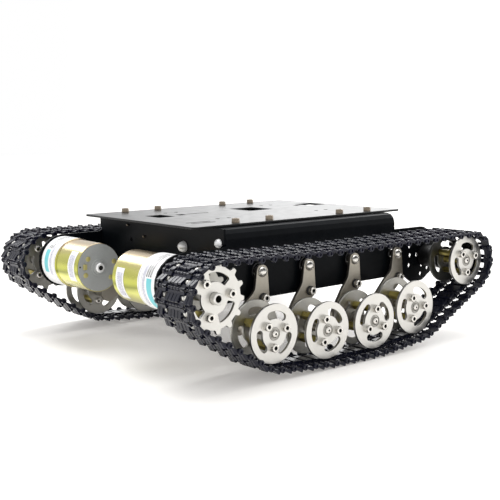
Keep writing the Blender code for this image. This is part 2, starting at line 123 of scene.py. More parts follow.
def across(side):
    """Outline in X and Z, depth in |Y| on one side."""
    return Matrix(((1, 0, 0, 0), (0, 0, side, 0), (0, 1, 0, 0), (0, 0, 0, 1)))


# ---------------------------------------------------------------- outlines

def arc(u, v, radius, start, end, steps):
    """Points on an arc, angles in degrees, both ends included."""
    points = []
    for i in range(steps + 1):
        a = math.radians(start + (end - start) * i / steps)
        points.append((u + radius * math.cos(a), v + radius * math.sin(a)))
    return points


def circle(u, v, radius, steps=96):
    return arc(u, v, radius, 0, 360, steps)[:-1]


def rounded_box(u0, u1, v0, v1, radius, steps=4):
    """Rectangle with rounded corners, counter-clockwise."""
    return (arc(u1 - radius, v1 - radius, radius, 0, 90, steps)
            + arc(u0 + radius, v1 - radius, radius, 90, 180, steps)
            + arc(u0 + radius, v0 + radius, radius, 180, 270, steps)
            + arc(u1 - radius, v0 + radius, radius, 270, 360, steps))


def slot_outline(u, v, radius, half_width, middle, span):
    """Curved slot with round ends, centred on an angle."""
    a, b = middle - span / 2, middle + span / 2
    points = arc(u, v, radius + half_width, a, b, 20)
    for end, first in ((b, b), (a, a + 180)):
        cu, cv = polar(u, v, radius, end)
        points += arc(cu, cv, half_width, first, first + 180, 8)[1:-1]
        if end == b:
            points += arc(u, v, radius - half_width, b, a, 20)
    return points


def polar(u, v, radius, angle):
    return arc(u, v, radius, angle, angle, 1)[0]


def moved_in(loop, distance, outline):
    """A loop moved into the material by a distance; holes move away from their middle.

    The lower bound on the divisor keeps sharp corners from running far out.
    """
    area = sum(a[0] * b[1] - b[0] * a[1] for a, b in zip(loop, loop[1:] + loop[:1]))
    distance = distance if (area > 0) == outline else -distance
    moved = []
    for i, here in enumerate(loop):
        before = Vector(here) - Vector(loop[i - 1])
        after = Vector(loop[(i + 1) % len(loop)]) - Vector(here)
        one = Vector((-before.y, before.x)).normalized()
        two = Vector((-after.y, after.x)).normalized()
        moved.append(Vector(here) + (one + two) / max(1 + one.dot(two), 0.4) * distance)
    return moved


def hexagon(apothem):
    """Radius of a hexagon at an angle, for a ring of points."""
    return lambda a: apothem / math.cos((a % (math.pi / 3)) - math.pi / 6)


def knurl(radius, depth, teeth):
    """Radius of a finely knurled edge at an angle."""
    return lambda a: radius - depth * (round(a / math.pi * teeth) % 2)


# ---------------------------------------------------------------- shapes

class Shape:
    """Geometry of one piece in millimetres; each face keeps a material number."""

    def __init__(self):
        self.bm = bmesh.new()

    def corner(self, place, u, v, w):
        return self.bm.verts.new(place @ Vector((u, v, w)))

    def face(self, corners, number, smooth=True):
        made = self.bm.faces.new(corners)
        made.material_index = number
        made.smooth = smooth

    def bridge(self, one, two, number):
        """Faces between two rings, either of which may be a single point."""
        count = max(len(one), len(two))
        for i in range(count):
            j = (i + 1) % count
            if len(one) == 1:
                self.face((one[0], two[j], two[i]), number)
            elif len(two) == 1:
                self.face((one[i], one[j], two[0]), number)
            else:
                self.face((one[i], one[j], two[j], two[i]), number)

    def turned(self, place, u, v, profile, number=0, steps=48):
        """Surface of revolution about (u, v); profile is (depth, radius)."""
        rings = []
        for depth, radius in profile:
            if radius == 0:
                rings.append([self.corner(place, u, v, depth)])
                continue
            ring = []
            for i in range(steps):
                a = 2 * math.pi * i / steps
                r = radius(a) if callable(radius) else radius
                ring.append(self.corner(place, u + r * math.cos(a), v + r * math.sin(a), depth))
            rings.append(ring)
        for one, two in zip(rings, rings[1:]):
            self.bridge(one, two, number)

    def plate(self, place, loops, low, high, edge=0.25, number=0, fine=True):
        """Sheet between two depths with eased edges; the first loop is its outline."""
        ease = ((edge, 0), (0.3 * edge, 0.3 * edge), (0, edge)) if fine else ((edge, 0), (0, edge))
        levels = [(inset, low + rise) for inset, rise in ease]
        levels += [(inset, high - rise) for inset, rise in reversed(ease)]
        rims = []
        for inset, depth in levels:
            rims.append([[self.corner(place, *p, depth) for p in moved_in(loop, inset, i == 0)]
                         for i, loop in enumerate(loops)])
        for one, two in zip(rims, rims[1:]):
            for ring_one, ring_two in zip(one, two):
                self.bridge(ring_one, ring_two, number)
        flat = [[Vector((*p, 0)) for p in moved_in(loop, edge, i == 0)]
                for i, loop in enumerate(loops)]
        bottom = [v for ring in rims[0] for v in ring]
        top = [v for ring in rims[-1] for v in ring]
        for a, b, c in tessellate_polygon(flat):
            self.face((bottom[a], bottom[b], bottom[c]), number, False)
            self.face((top[c], top[b], top[a]), number, False)

    def wire(self, points, radius, number=0, steps=10):
        """Round wire along points, with closed ends."""
        path = [Vector(p) for p in points]
        rings = []
        for i, here in enumerate(path):
            ahead = (path[min(i + 1, len(path) - 1)] - path[max(i - 1, 0)]).normalized()
            right = ahead.orthogonal() if not rings else right - ahead * right.dot(ahead)
            right.normalize()
            up = ahead.cross(right)
            ring = []
            for k in range(steps):
                a = 2 * math.pi * k / steps
                ring.append(self.bm.verts.new(
                    here + (right * math.cos(a) + up * math.sin(a)) * radius))
            rings.append(ring)
        for one, two in zip(rings, rings[1:]):
            self.bridge(one, two, number)
        self.bridge([self.bm.verts.new(path[0])], rings[0], number)
        self.bridge(rings[-1], [self.bm.verts.new(path[-1])], number)

    def save(self, name, finishes, body, replaces=(), slot=None, sharp=32):
        """Turns the geometry into a piece, with named finishes, that rides on a CAD body."""
        bmesh.ops.remove_doubles(self.bm, verts=self.bm.verts, dist=0.001)
        bmesh.ops.recalc_face_normals(self.bm, faces=self.bm.faces)
        bmesh.ops.scale(self.bm, vec=(MM, MM, MM), verts=self.bm.verts)
        rounded = [face.smooth for face in self.bm.faces]
        mesh = bpy.data.meshes.new(name)
        self.bm.to_mesh(mesh)
        self.bm.free()
        for finish in finishes:
            mesh.materials.append(FINISH[finish])
        mesh.set_sharp_from_angle(angle=math.radians(sharp))
        mesh.polygons.foreach_set("use_smooth", rounded)
        piece = bpy.data.objects.new(name, mesh)
        bpy.context.scene.collection.objects.link(piece)
        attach(piece, body)
        if replaces:
            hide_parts(*replaces)


# ---------------------------------------------------------------- finishes

class Nodes:
    """Short forms for building one material's node tree."""

    def __init__(self, name, metallic=0.0, **sockets):
        self.material = bpy.data.materials.new(name)
        self.material.use_nodes = True
        self.tree = self.material.node_tree
        self.shader = self.tree.nodes["Principled BSDF"]
        self.shader.inputs["Metallic"].default_value = metallic
        for socket, value in sockets.items():
            self.shader.inputs[socket.replace("_", " ")].default_value = value
        self.place = self.add("ShaderNodeTexCoord").outputs["Object"]

    def add(self, kind, **values):
        node = self.tree.nodes.new(kind)
        for key, value in values.items():
            setattr(node, key, value)
        return node

    def link(self, source, target):
        self.tree.links.new(source, target)

    def stretched(self, stretch):
        mapping = self.add("ShaderNodeMapping")
        mapping.inputs["Scale"].default_value = stretch
        self.link(self.place, mapping.inputs["Vector"])
        return mapping.outputs["Vector"]

    def noise(self, size, detail=3.0, stretch=(1, 1, 1)):
        """Noise with features about size millimetres across."""
        node = self.add("ShaderNodeTexNoise")
        node.inputs["Scale"].default_value = 1 / (size * MM)
        node.inputs["Detail"].default_value = detail
        self.link(self.stretched(stretch), node.inputs["Vector"])
        return node.outputs["Fac"]

    def ramp(self, source, stops):
        node = self.add("ShaderNodeValToRGB")
        elements = node.color_ramp.elements
        while len(elements) < len(stops):
            elements.new(0.5)
        for element, (position, colour) in zip(elements, stops):
            element.position = position
            element.color = (*colour, 1.0)
        self.link(source, node.inputs["Fac"])
        return node.outputs["Color"]

    def spread(self, source, low, high, start=0.3, end=0.7):
        node = self.add("ShaderNodeMapRange")
        node.inputs["From Min"].default_value = start
        node.inputs["From Max"].default_value = end
        node.inputs["To Min"].default_value = low
        node.inputs["To Max"].default_value = high
        self.link(source, node.inputs["Value"])
        return node.outputs["Result"]

    def mixed(self, share, one, two):
        node = self.add("ShaderNodeMix", data_type="RGBA")
        self.link(share, node.inputs["Factor"])
        for socket, value in ((node.inputs["A"], one), (node.inputs["B"], two)):
            if isinstance(value, tuple):
                socket.default_value = (*value, 1.0)
            else:
                self.link(value, socket)
        return node.outputs["Result"]

    def colour(self, source):
        self.link(source, self.shader.inputs["Base Color"])

    def roughness(self, source):
        self.link(source, self.shader.inputs["Roughness"])

    def bump(self, source, height):
        """Relief about height millimetres deep."""
        node = self.add("ShaderNodeBump")
        node.inputs["Distance"].default_value = height * MM
        self.link(source, node.inputs["Height"])
        self.link(node.outputs["Normal"], self.shader.inputs["Normal"])


def grained(name, dark, light, metallic, rough, grain, relief, stretch=(1, 1, 1), **sockets):
    """Finish with a fine grain, and slow changes in its shade and gloss."""
    nodes = Nodes(name, metallic, **sockets)
    fine = nodes.noise(grain, 4.0, stretch)
    slow = nodes.noise(grain * 22, 2.0)
    shade = nodes.ramp(slow, [(0.3, dark), (0.7, light)])
    speck = nodes.ramp(fine, [(0.3, tuple(c * 0.86 for c in light)), (0.7, light)])
    nodes.colour(nodes.mixed(fine, shade, speck))
    nodes.roughness(nodes.spread(slow, *rough))
    nodes.bump(fine, relief)
    return nodes.material


def zinc_finish():
    """Yellow chromate zinc plating with its own patchy tint, and a painted reflection: a dark
    olive band at mid height, paler above and below.
    """
    nodes = Nodes("yellow_zinc_plating", 1.0)
    cloud = nodes.noise(26, 2.0, (1, 0.5, 1.6))
    apart = nodes.add("ShaderNodeSeparateXYZ")
    nodes.link(nodes.place, apart.inputs[0])
    # Colour follows height on the motor: the dark olive band at mid height and the paler bands
    # above and below are a painted reflection
    level = nodes.spread(apart.outputs["Z"], 0.0, 1.0, (MOTOR_Z - GEARBOX_RADIUS) * MM,
                         (MOTOR_Z + GEARBOX_RADIUS) * MM)
    drift = nodes.add("ShaderNodeMath", operation="MULTIPLY_ADD")
    nodes.link(cloud, drift.inputs[0])
    drift.inputs[1].default_value = 0.24
    nodes.link(level, drift.inputs[2])
    tint_and_painted_reflection = nodes.ramp(drift.outputs[0], [(0.16, (0.62, 0.55, 0.28)), (0.44, (0.72, 0.72, 0.20)),
                                            (0.54, (0.17, 0.19, 0.02)), (0.62, (0.40, 0.42, 0.06)),
                                            (0.82, (0.56, 0.54, 0.15)), (1.0, (0.46, 0.36, 0.27))])
    fine = nodes.noise(0.7, 3.0, (1, 6, 1))
    nodes.colour(nodes.mixed(nodes.spread(fine, 0.0, 0.3), tint_and_painted_reflection, (0.50, 0.48, 0.16)))
    nodes.roughness(nodes.spread(cloud, 0.20, 0.32))
    nodes.bump(fine, 0.01)
    return nodes.material


def label_finish(name, paper, mark, fineness):
    """Label area with rows of fine broken ticks: a grey texture, no lettering."""
    nodes = Nodes(name, 0.0, Coat_Weight=0.35, Coat_Roughness=0.2)
    rows = nodes.add("ShaderNodeTexWave", wave_type="BANDS", bands_direction="Y")
    rows.inputs["Scale"].default_value = fineness / MM
    nodes.link(nodes.place, rows.inputs["Vector"])
    lines = nodes.spread(rows.outputs["Fac"], 0.0, 1.0, 0.45, 0.6)
    broken = nodes.spread(nodes.noise(0.55, 2.0, (0.4, 1, 1)), 0.0, 1.0, 0.40, 0.48)
    both = nodes.add("ShaderNodeMath", operation="MULTIPLY")
    nodes.link(lines, both.inputs[0])
    nodes.link(broken, both.inputs[1])
    nodes.colour(nodes.mixed(both.outputs[0], paper, mark))
    nodes.roughness(nodes.spread(nodes.noise(3.0), 0.4, 0.55))
    return nodes.material


def paper_finish(name, dark, light):
    return grained(name, dark, light, 0.0, (0.4, 0.55), 0.5, 0.01, Coat_Weight=0.35,
                   Coat_Roughness=0.2)


FINISH = {
    "powder": grained("black_powder_coat", (0.002, 0.0025, 0.0035), (0.0035, 0.0045, 0.006), 0.0,
                      (0.28, 0.33), 0.35, 0.008, Specular_IOR_Level=0.06),
    "deck": grained("black_deck_coat", (0.005, 0.005, 0.006), (0.008, 0.009, 0.010), 0.0,
                    (0.28, 0.32), 0.35, 0.008, Specular_IOR_Level=0.20),
    "track": grained("black_track_plastic", (0.0025, 0.003, 0.008), (0.005, 0.006, 0.016), 0.0,
                     (0.18, 0.26), 0.5, 0.02, Specular_IOR_Level=0.27),
    "disc": grained("satin_disc_steel", (0.57, 0.56, 0.53), (0.68, 0.67, 0.64), 1.0,
                    (0.30, 0.42), 0.35, 0.012, (1, 1, 5)),
    # Inner disc steels: the outer discs' steel made darker as painted shade between the discs; the
    # second, darker still, is painted deeper shade for the idlers
    "painted_shade_steel": grained("inner_steel_painted_shade", (0.36, 0.355, 0.325), (0.47, 0.46, 0.43), 1.0,
                    (0.34, 0.46), 0.35, 0.012, (1, 1, 5)),
    "shaded": grained("inner_steel_painted_deep_shade", (0.10, 0.10, 0.095), (0.17, 0.17, 0.16), 1.0,
                      (0.36, 0.48), 0.35, 0.012, (1, 1, 5)),
    "arm": grained("nickel_arm_steel", (0.26, 0.235, 0.19), (0.38, 0.355, 0.31), 1.0,
                   (0.30, 0.42), 0.5, 0.012, (4, 1, 1)),
    "screw": grained("nickel_screw", (0.60, 0.58, 0.54), (0.74, 0.72, 0.68), 1.0,
                     (0.18, 0.30), 0.4, 0.006),
    # Near black: painted shade in screw sockets and the hub's bore; also used for the motor
    # shaft's end and a small dot on the end cap
    "socket": grained("near_black_with_painted_hollow_shade", (0.010, 0.010, 0.010), (0.03, 0.03, 0.028), 0.6,
                      (0.5, 0.7), 0.4, 0.02),
    "brass": grained("brass", (0.30, 0.24, 0.06), (0.48, 0.41, 0.13), 1.0, (0.26, 0.38), 0.5,
                     0.01),
    "bearing": grained("bearing_steel", (0.34, 0.33, 0.31), (0.46, 0.45, 0.42), 1.0,
                       (0.28, 0.38), 0.4, 0.006),
    "sleeve": grained("black_sleeve", (0.012, 0.012, 0.012), (0.03, 0.03, 0.03), 0.0,
                      (0.4, 0.6), 0.6, 0.02),
    "spring": grained("spring_wire", (0.02, 0.02, 0.022), (0.05, 0.05, 0.05), 1.0,
                      (0.3, 0.45), 0.5, 0.01),
    "axle": grained("dark_axle_steel", (0.06, 0.06, 0.065), (0.13, 0.13, 0.13), 1.0,
                    (0.25, 0.4), 0.5, 0.01),
    "cap": grained("grey_end_cap", (0.27, 0.285, 0.275), (0.36, 0.37, 0.365), 0.0,
                   (0.38, 0.5), 0.6, 0.02),
    "bright": grained("bright_steel", (0.88, 0.88, 0.88), (0.95, 0.95, 0.95), 0.3,
                      (0.22, 0.30), 0.4, 0.004),
    "terminal": grained("pale_brass_terminal", (0.40, 0.36, 0.12), (0.56, 0.50, 0.20), 0.4,
                        (0.4, 0.5), 0.5, 0.01),
    "head": grained("bronzed_screw", (0.13, 0.105, 0.08), (0.25, 0.21, 0.165), 1.0,
                    (0.22, 0.34), 0.4, 0.006),
    "zinc": zinc_finish(),
    "label": paper_finish("label_paper", (0.82, 0.82, 0.83), (0.90, 0.90, 0.90)),
    "stripe": paper_finish("label_stripe", (0.10, 0.50, 0.56), (0.16, 0.60, 0.66)),
    "rule": paper_finish("label_rule", (0.16, 0.16, 0.17), (0.30, 0.30, 0.30)),
    "code": label_finish("label_code", (0.74, 0.74, 0.80), (0.20, 0.20, 0.30), 0.30),
    "print": label_finish("label_print", (0.70, 0.70, 0.70), (0.01, 0.01, 0.012), 0.14),
}


# ---------------------------------------------------------------- fasteners

def cap_screw(shape, place, u, v, seat, out=1, metal=0, dark=1):
    """Socket-head screw with a knurled edge, seated at a depth and facing along out."""
    edge = knurl(HEAD_RADIUS, 0.09, 24)
    shape.turned(place, u, v, [(seat, edge), (seat + 2.5 * out, edge),
                               (seat + 2.85 * out, HEAD_RADIUS - 0.25),
                               (seat + HEAD_HEIGHT * out, HEAD_RADIUS - 0.55),
                               (seat + HEAD_HEIGHT * out, HEX_APOTHEM * 1.25),
                               (seat + (HEAD_HEIGHT - 0.12) * out, hexagon(HEX_APOTHEM))], metal)
    # The hex socket is near black: painted shade in the hollow
    shape.turned(place, u, v, [(seat + (HEAD_HEIGHT - 0.12) * out, hexagon(HEX_APOTHEM)),
                               (seat + 1.4 * out, hexagon(HEX_APOTHEM)),
                               (seat + 1.1 * out, 0)], dark)


def button_screw(shape, place, u, v, seat, radius, out=1, metal=0, dark=1):
    """Low domed screw with a small socket."""
    dome = [(seat, radius), (seat + 0.5 * out, radius)]
    for share in (0.25, 0.5, 0.75):
        angle = share * math.pi / 2
        dome.append((seat + (0.5 + 1.1 * math.sin(angle)) * out,
                     radius * (0.45 + 0.55 * math.cos(angle))))
    top = seat + 1.6 * out
    socket = hexagon(radius * 0.3)
    shape.turned(place, u, v, dome + [(top, radius * 0.42), (top, socket)], metal)
    # The socket is near black: painted shade in the hollow
    shape.turned(place, u, v, [(top, socket), (top - 0.9 * out, socket), (top - 1.1 * out, 0)],
                 dark)


def domed_head(shape, place, u, v, seat, radius, height, number):
    """Plain round-topped head without a socket."""
    shape.turned(place, u, v, [(seat, radius)] + [
        (seat + height * math.sin(math.radians(a)), radius * math.cos(math.radians(a)))
        for a in (8, 20, 32, 44, 56, 68, 80, 90)], number)


def standoff(shape, place, u, v, radius, number):
    """Hexagonal brass spacer between the two discs."""
    shape.plate(place, [circle(u, v, radius, 6)], DISC_IN + 1, DISC_OUT - 1, 0.3, number)


# ---------------------------------------------------------------- track path

def pitch_radius():
    """Radius at which the track's hinge line wraps the sprocket."""
    return TOOTH_ROOT + 0.35 - TRACK_INNER


def track_path():
    """The track's pitch line as (x, z, signed radius, start heading, end heading) turns."""
    top = (SPROCKET_Z + pitch_radius() + IDLER_Z + IDLER_RADIUS + GAP - TRACK_INNER) / 2
    rounds = [(SPROCKET_X, SPROCKET_Z, pitch_radius()),
              (0, top - TOP_SAG + SAG_RADIUS, -SAG_RADIUS),
              (IDLER_X, IDLER_Z, IDLER_RADIUS + GAP - TRACK_INNER)]
    for i in (3, 2, 1, 0):
        ease = END_WHEEL_EASE if i == 0 else 0
        rounds.append((WHEEL_X[i], WHEEL_Z[i], WHEEL_RADIUS + GAP - TRACK_INNER + ease))
    headings = []
    for here, after in zip(rounds, rounds[1:] + rounds[:1]):
        dx, dz = after[0] - here[0], after[1] - here[1]
        headings.append(math.atan2(dz, dx) - math.asin((here[2] - after[2]) / math.hypot(dx, dz)))
    turns = []
    for i, here in enumerate(rounds):
        start, end = headings[i - 1], headings[i]
        turn = (start - end + math.pi) % (2 * math.pi) - math.pi
        turns.append((*here, start, start - turn))
    return turns


def on_turn(x, z, radius, heading):
    """Point of a turn where the track travels along a heading."""
    return Vector((x - radius * math.sin(heading), z + radius * math.cos(heading)))


def track_line():
    """Length of the pitch line, and a function from a distance along it to its point."""
    turns = track_path()
    parts, total = [], 0.0
    for i, (x, z, r, start, end) in enumerate(turns):
        length = r * (start - end)
        parts.append((total, length, "turn", (x, z, r, start)))
        total += length
        x2, z2, r2, start2, _ = turns[(i + 1) % len(turns)]
        leave, arrive = on_turn(x, z, r, end), on_turn(x2, z2, r2, start2)
        parts.append((total, (arrive - leave).length, "run", (leave, arrive)))
        total += (arrive - leave).length

    def at(distance):
        distance %= total
        for begin, length, kind, data in parts:
            if distance <= begin + length:
                break
        if kind == "run":
            return data[0].lerp(data[1], (distance - begin) / length)
        x, z, r, start = data
        return on_turn(x, z, r, start - (distance - begin) / r)

    return total, at


# ---------------------------------------------------------------- track links

ALONG = Matrix(((1, 0, 0, 0), (0, 0, 1, 0), (0, 1, 0, 0), (0, 0, 0, 1)))
HALF_WIDTH = TRACK_WIDTH / 2
TOOTH_ROW = (DISC_OUT - DISC_IN) / 2
TOOTH_CLEAR = 1.65
HOLE_HALF_WIDTH, HOLE_HALF_LENGTH = 2.7, 1.8
WEB_LOW, WEB_HIGH = 0.4, 1.5
BAR_LOW, BAR_HIGH, BAR_REST = 1.8, 2.5, 0.4
WEB_START, BAR_START = 0.9, 0.25
EYE_RADIUS, EYE_RISE = 2.1, 0.35
BARREL_RADIUS, BARREL_RISE, BARREL_JOINT = 1.25, 0.6, 0.14
PAD_GROOVE, PAD_SHIFT = 0.24, 0.12


def link_shape(pitch):
    """One link: outline in travel and width, depth outwards from the pitch line.

    Tooth discs run in two open rows. In each row only thin bars cross, above the reach
    of the teeth, so the sprocket turns freely between the webs on either side.
    """
    shape = Shape()
    edge = HALF_WIDTH - 1.0
    zones = ((-edge, False, -TOOTH_ROW, True), (-TOOTH_ROW, True, TOOTH_ROW, True),
             (TOOTH_ROW, True, edge, False))
    for zone in zones:
        shape.plate(UPRIGHT, [web_outline(pitch, *zone)], WEB_LOW, WEB_HIGH, 0.2, fine=False)
    inner = TOOTH_ROW - HOLE_HALF_WIDTH - 0.4
    shape.plate(UPRIGHT, [rounded_box(1.0, pitch - 1.0, -inner, inner, 0.8, 2)],
                TRACK_INNER, WEB_LOW + 0.3, 0.3, fine=False)
    tread_pads(shape, pitch)
    row_bars(shape, pitch)
    knuckles(shape)
    return shape


def web_outline(pitch, low, low_rowed, high, high_rowed):
    """Web between two edges; an edge on a tooth row steps back round its hole."""
    start, end = WEB_START, pitch - WEB_START
    hole_start, hole_end = pitch / 2 - HOLE_HALF_LENGTH, pitch / 2 + HOLE_HALF_LENGTH
    points = []
    for place, rowed, away in ((low, low_rowed, 1), (high, high_rowed, -1)):
        if rowed:
            near, far = place + away * TOOTH_CLEAR, place + away * HOLE_HALF_WIDTH
            side = [(start, near), (hole_start - 0.3, near), (hole_start, far),
                    (hole_end, far), (hole_end + 0.3, near), (end, near)]
        else:
            side = [(start, place), (end, place)]
        points += side[::away]
    return points


def tread_pads(shape, pitch):
    """Tall ribs, steep behind and with a long slope in front, side by side."""
    files = []
    beside = HOLE_HALF_WIDTH
    for low, high, count in ((-HALF_WIDTH + 0.4, -TOOTH_ROW - beside, 2),
                             (-TOOTH_ROW + beside, TOOTH_ROW - beside, 4),
                             (TOOTH_ROW + beside, HALF_WIDTH - 0.4, 2)):
        width = (high - low) / count
        files += [(low + width * i, low + width * (i + 1)) for i in range(count)]
    top = TRACK_OUTER - 0.02
    for i, (low, high) in enumerate(files):
        shift = PAD_SHIFT if i % 2 else -PAD_SHIFT
        start, end = 1.6 + shift, pitch - 1.2 + shift
        pad = [(start, WEB_HIGH - 0.3), (start + 0.02, top - 0.55), (start + 0.45, top - 0.08),
               (start + 0.8, top), (start + 1.1, top - 0.1), (end - 1.6, WEB_HIGH + 0.1),
               (end, WEB_HIGH - 0.3)]
        shape.plate(ALONG, [pad], low + PAD_GROOVE, high - PAD_GROOVE, 0.2, fine=False)


def row_bars(shape, pitch):
    """Bars that close each tooth row but for one hole, and the arch over its hinge."""
    hole_start, hole_end = pitch / 2 - HOLE_HALF_LENGTH, pitch / 2 + HOLE_HALF_LENGTH
    wide = TOOTH_CLEAR + BAR_REST
    for middle in (-TOOTH_ROW, TOOTH_ROW):
        for start, end in ((BAR_START, hole_start), (hole_end, pitch - BAR_START)):
            shape.plate(UPRIGHT, [rounded_box(start, end, middle - wide, middle + wide, 0.3, 2)],
                        BAR_LOW, BAR_HIGH, 0.2, fine=False)
        for start, end in ((WEB_START, hole_start), (hole_end, pitch - WEB_START)):
            for low, high in ((middle - wide, middle - TOOTH_CLEAR),
                              (middle + TOOTH_CLEAR, middle + wide)):
                shape.plate(UPRIGHT, [rounded_box(start, end, low, high, 0.2, 2)],
                            WEB_HIGH - 0.3, BAR_LOW + 0.2, 0.1, fine=False)
        shape.turned(ALONG, 0, 2.3, [(middle - wide, 0), (middle - wide, 0.4),
                                     (middle - wide + 0.2, 0.6), (middle + wide - 0.2, 0.6),
                                     (middle + wide, 0.4), (middle + wide, 0)], steps=12)


def knuckles(shape):
    """Hinge barrels along the pin at the link's start; the end ones stand out as eyes."""
    half, clear = HALF_WIDTH, TOOTH_CLEAR
    third = (half - TOOTH_ROW - clear) / 3
    width = 2 * (TOOTH_ROW - clear) / 5
    spans = [(-half + third * i, -half + third * (i + 1)) for i in range(3)]
    spans += [(-TOOTH_ROW + clear + width * i, -TOOTH_ROW + clear + width * (i + 1))
              for i in range(5)]
    spans += [(half - third * (i + 1), half - third * i) for i in range(3)]
    for low, high in spans:
        outer_low, outer_high = abs(low + half) < 0.01, abs(high - half) < 0.01
        radius, rise = BARREL_RADIUS, BARREL_RISE
        if outer_low or outer_high:
            radius, rise = EYE_RADIUS, EYE_RISE
        one = low if outer_low else low + BARREL_JOINT
        two = high if outer_high else high - BARREL_JOINT
        profile = [(one, radius - 0.35), (one + 0.35, radius), (two - 0.35, radius),
                   (two, radius - 0.35)]
        if outer_low:
            profile = [(one + 0.7, 0), (one + 0.7, 0.75), (one, 0.95)] + profile
        else:
            profile = [(one, 0)] + profile
        if outer_high:
            profile += [(two, 0.95), (two - 0.7, 0.75), (two - 0.7, 0)]
        else:
            profile += [(two, 0)]
        shape.turned(ALONG, 0, rise, profile, steps=16)


def track_piece(name, side):
    """All the links of one side, each laid straight between its two hinge pins."""
    total, at = track_line()
    pitch = total / LINKS
    shape = link_shape(pitch)
    bmesh.ops.remove_doubles(shape.bm, verts=shape.bm.verts, dist=0.001)
    shape.bm.verts.index_update()
    points = np.array([v.co for v in shape.bm.verts])
    faces = [[v.index for v in f.verts] for f in shape.bm.faces]
    shape.bm.free()
    sprocket_start = track_path()[0][3]
    tooth_heading = math.radians(TOOTH_PHASE[side] + 5 * 360 / TEETH - 90)
    offset = (sprocket_start - tooth_heading) * pitch_radius() - pitch / 2
    laid, corners = [], []
    for i in range(LINKS):
        start, end = at(offset + i * pitch), at(offset + (i + 1) * pitch)
        ahead = (end - start).normalized()
        x = start.x + points[:, 0] * ahead.x - points[:, 2] * ahead.y
        z = start.y + points[:, 0] * ahead.y + points[:, 2] * ahead.x
        y = side * (TRACK_CENTRE + points[:, 1])
        corners += [[k + len(points) * i for k in face] for face in faces]
        laid.append(np.stack((x, y, z), axis=1))
    mesh = bpy.data.meshes.new(name)
    mesh.from_pydata(np.concatenate(laid).tolist(), [], corners)
    links = Shape()
    links.bm.from_mesh(mesh)
    bpy.data.meshes.remove(mesh)
    links.save(name + "_links", ["track"], "chassis", [name], "track_plastic", 40)


# ---------------------------------------------------------------- wheels

def disc_faces(middle):
    """Depths of a disc's two faces."""
    return middle - DISC_THICK / 2, middle + DISC_THICK / 2


def wheel_pieces(name, side, x, z, radius, slot_angle, spacer, inner):
    """Two slotted discs, and the bearings, spacers and screws that hold them together."""
    place = across(side)
    # The inner disc takes a darker copy of the steel as painted shade
    for word, middle, finish in (("outer", DISC_OUT, "disc"), ("inner", DISC_IN, inner)):
        slots = [slot_outline(x, z, radius - SLOT_INSET, SLOT_HALF_WIDTH, slot_angle + 120 * i,
                              SLOT_SPAN) for i in range(3)]
        disc = Shape()
        disc.plate(place, [circle(x, z, radius, 120), circle(x, z, BEARING_RADIUS, 48)] + slots,
                   *disc_faces(middle), 0.22)
        disc.save(name + "_disc_" + word, [finish], name, [name + "_" + word], "disc_steel")
    fittings = Shape()
    for i in range(3):
        u, v = polar(x, z, WHEEL_SCREW_RADIUS, slot_angle + 60 + 120 * i)
        standoff(fittings, place, u, v, spacer, 2)
        cap_screw(fittings, place, u, v, DISC_OUT + 1)
        button_screw(fittings, place, u, v, DISC_IN - 1, BACK_SCREW_RADIUS, -1)
    for middle, out in ((DISC_OUT, 1), (DISC_IN, -1)):
        bearing(fittings, place, x, z, middle, out, 3)
    fittings.save(name + "_fittings", ("screw", "socket", "brass", "bearing"), name)


def bearing(shape, place, x, z, middle, out, number):
    """Small ball bearing pressed into a disc: races with a sunk shield between them."""
    face = middle + (DISC_THICK / 2 + 0.35) * out
    back = middle - (DISC_THICK / 2 + 0.8) * out
    shape.turned(place, x, z, [
        (back, BEARING_BORE), (back, BEARING_RADIUS), (face - 0.15 * out, BEARING_RADIUS),
        (face, BEARING_RADIUS - 0.15),
        (face, 3.75), (face - 0.45 * out, 3.65), (face - 0.5 * out, 3.2),
        (face - 0.1 * out, 3.1), (face - 0.1 * out, BEARING_BORE)], number)


# ---------------------------------------------------------------- sprockets

def sprocket_outline(side):
    """Rim of blunt rounded tabs, whose flanks are (rise, angle from the tab's middle)."""
    points = []
    for i in range(TEETH):
        middle = TOOTH_PHASE[side] + i * 360 / TEETH
        for rise, offset in TOOTH_FLANK:
            points.append(polar(SPROCKET_X, SPROCKET_Z, TOOTH_ROOT + rise, middle - offset))
        for rise, offset in reversed(TOOTH_FLANK):
            points.append(polar(SPROCKET_X, SPROCKET_Z, TOOTH_ROOT + rise, middle + offset))
    return points


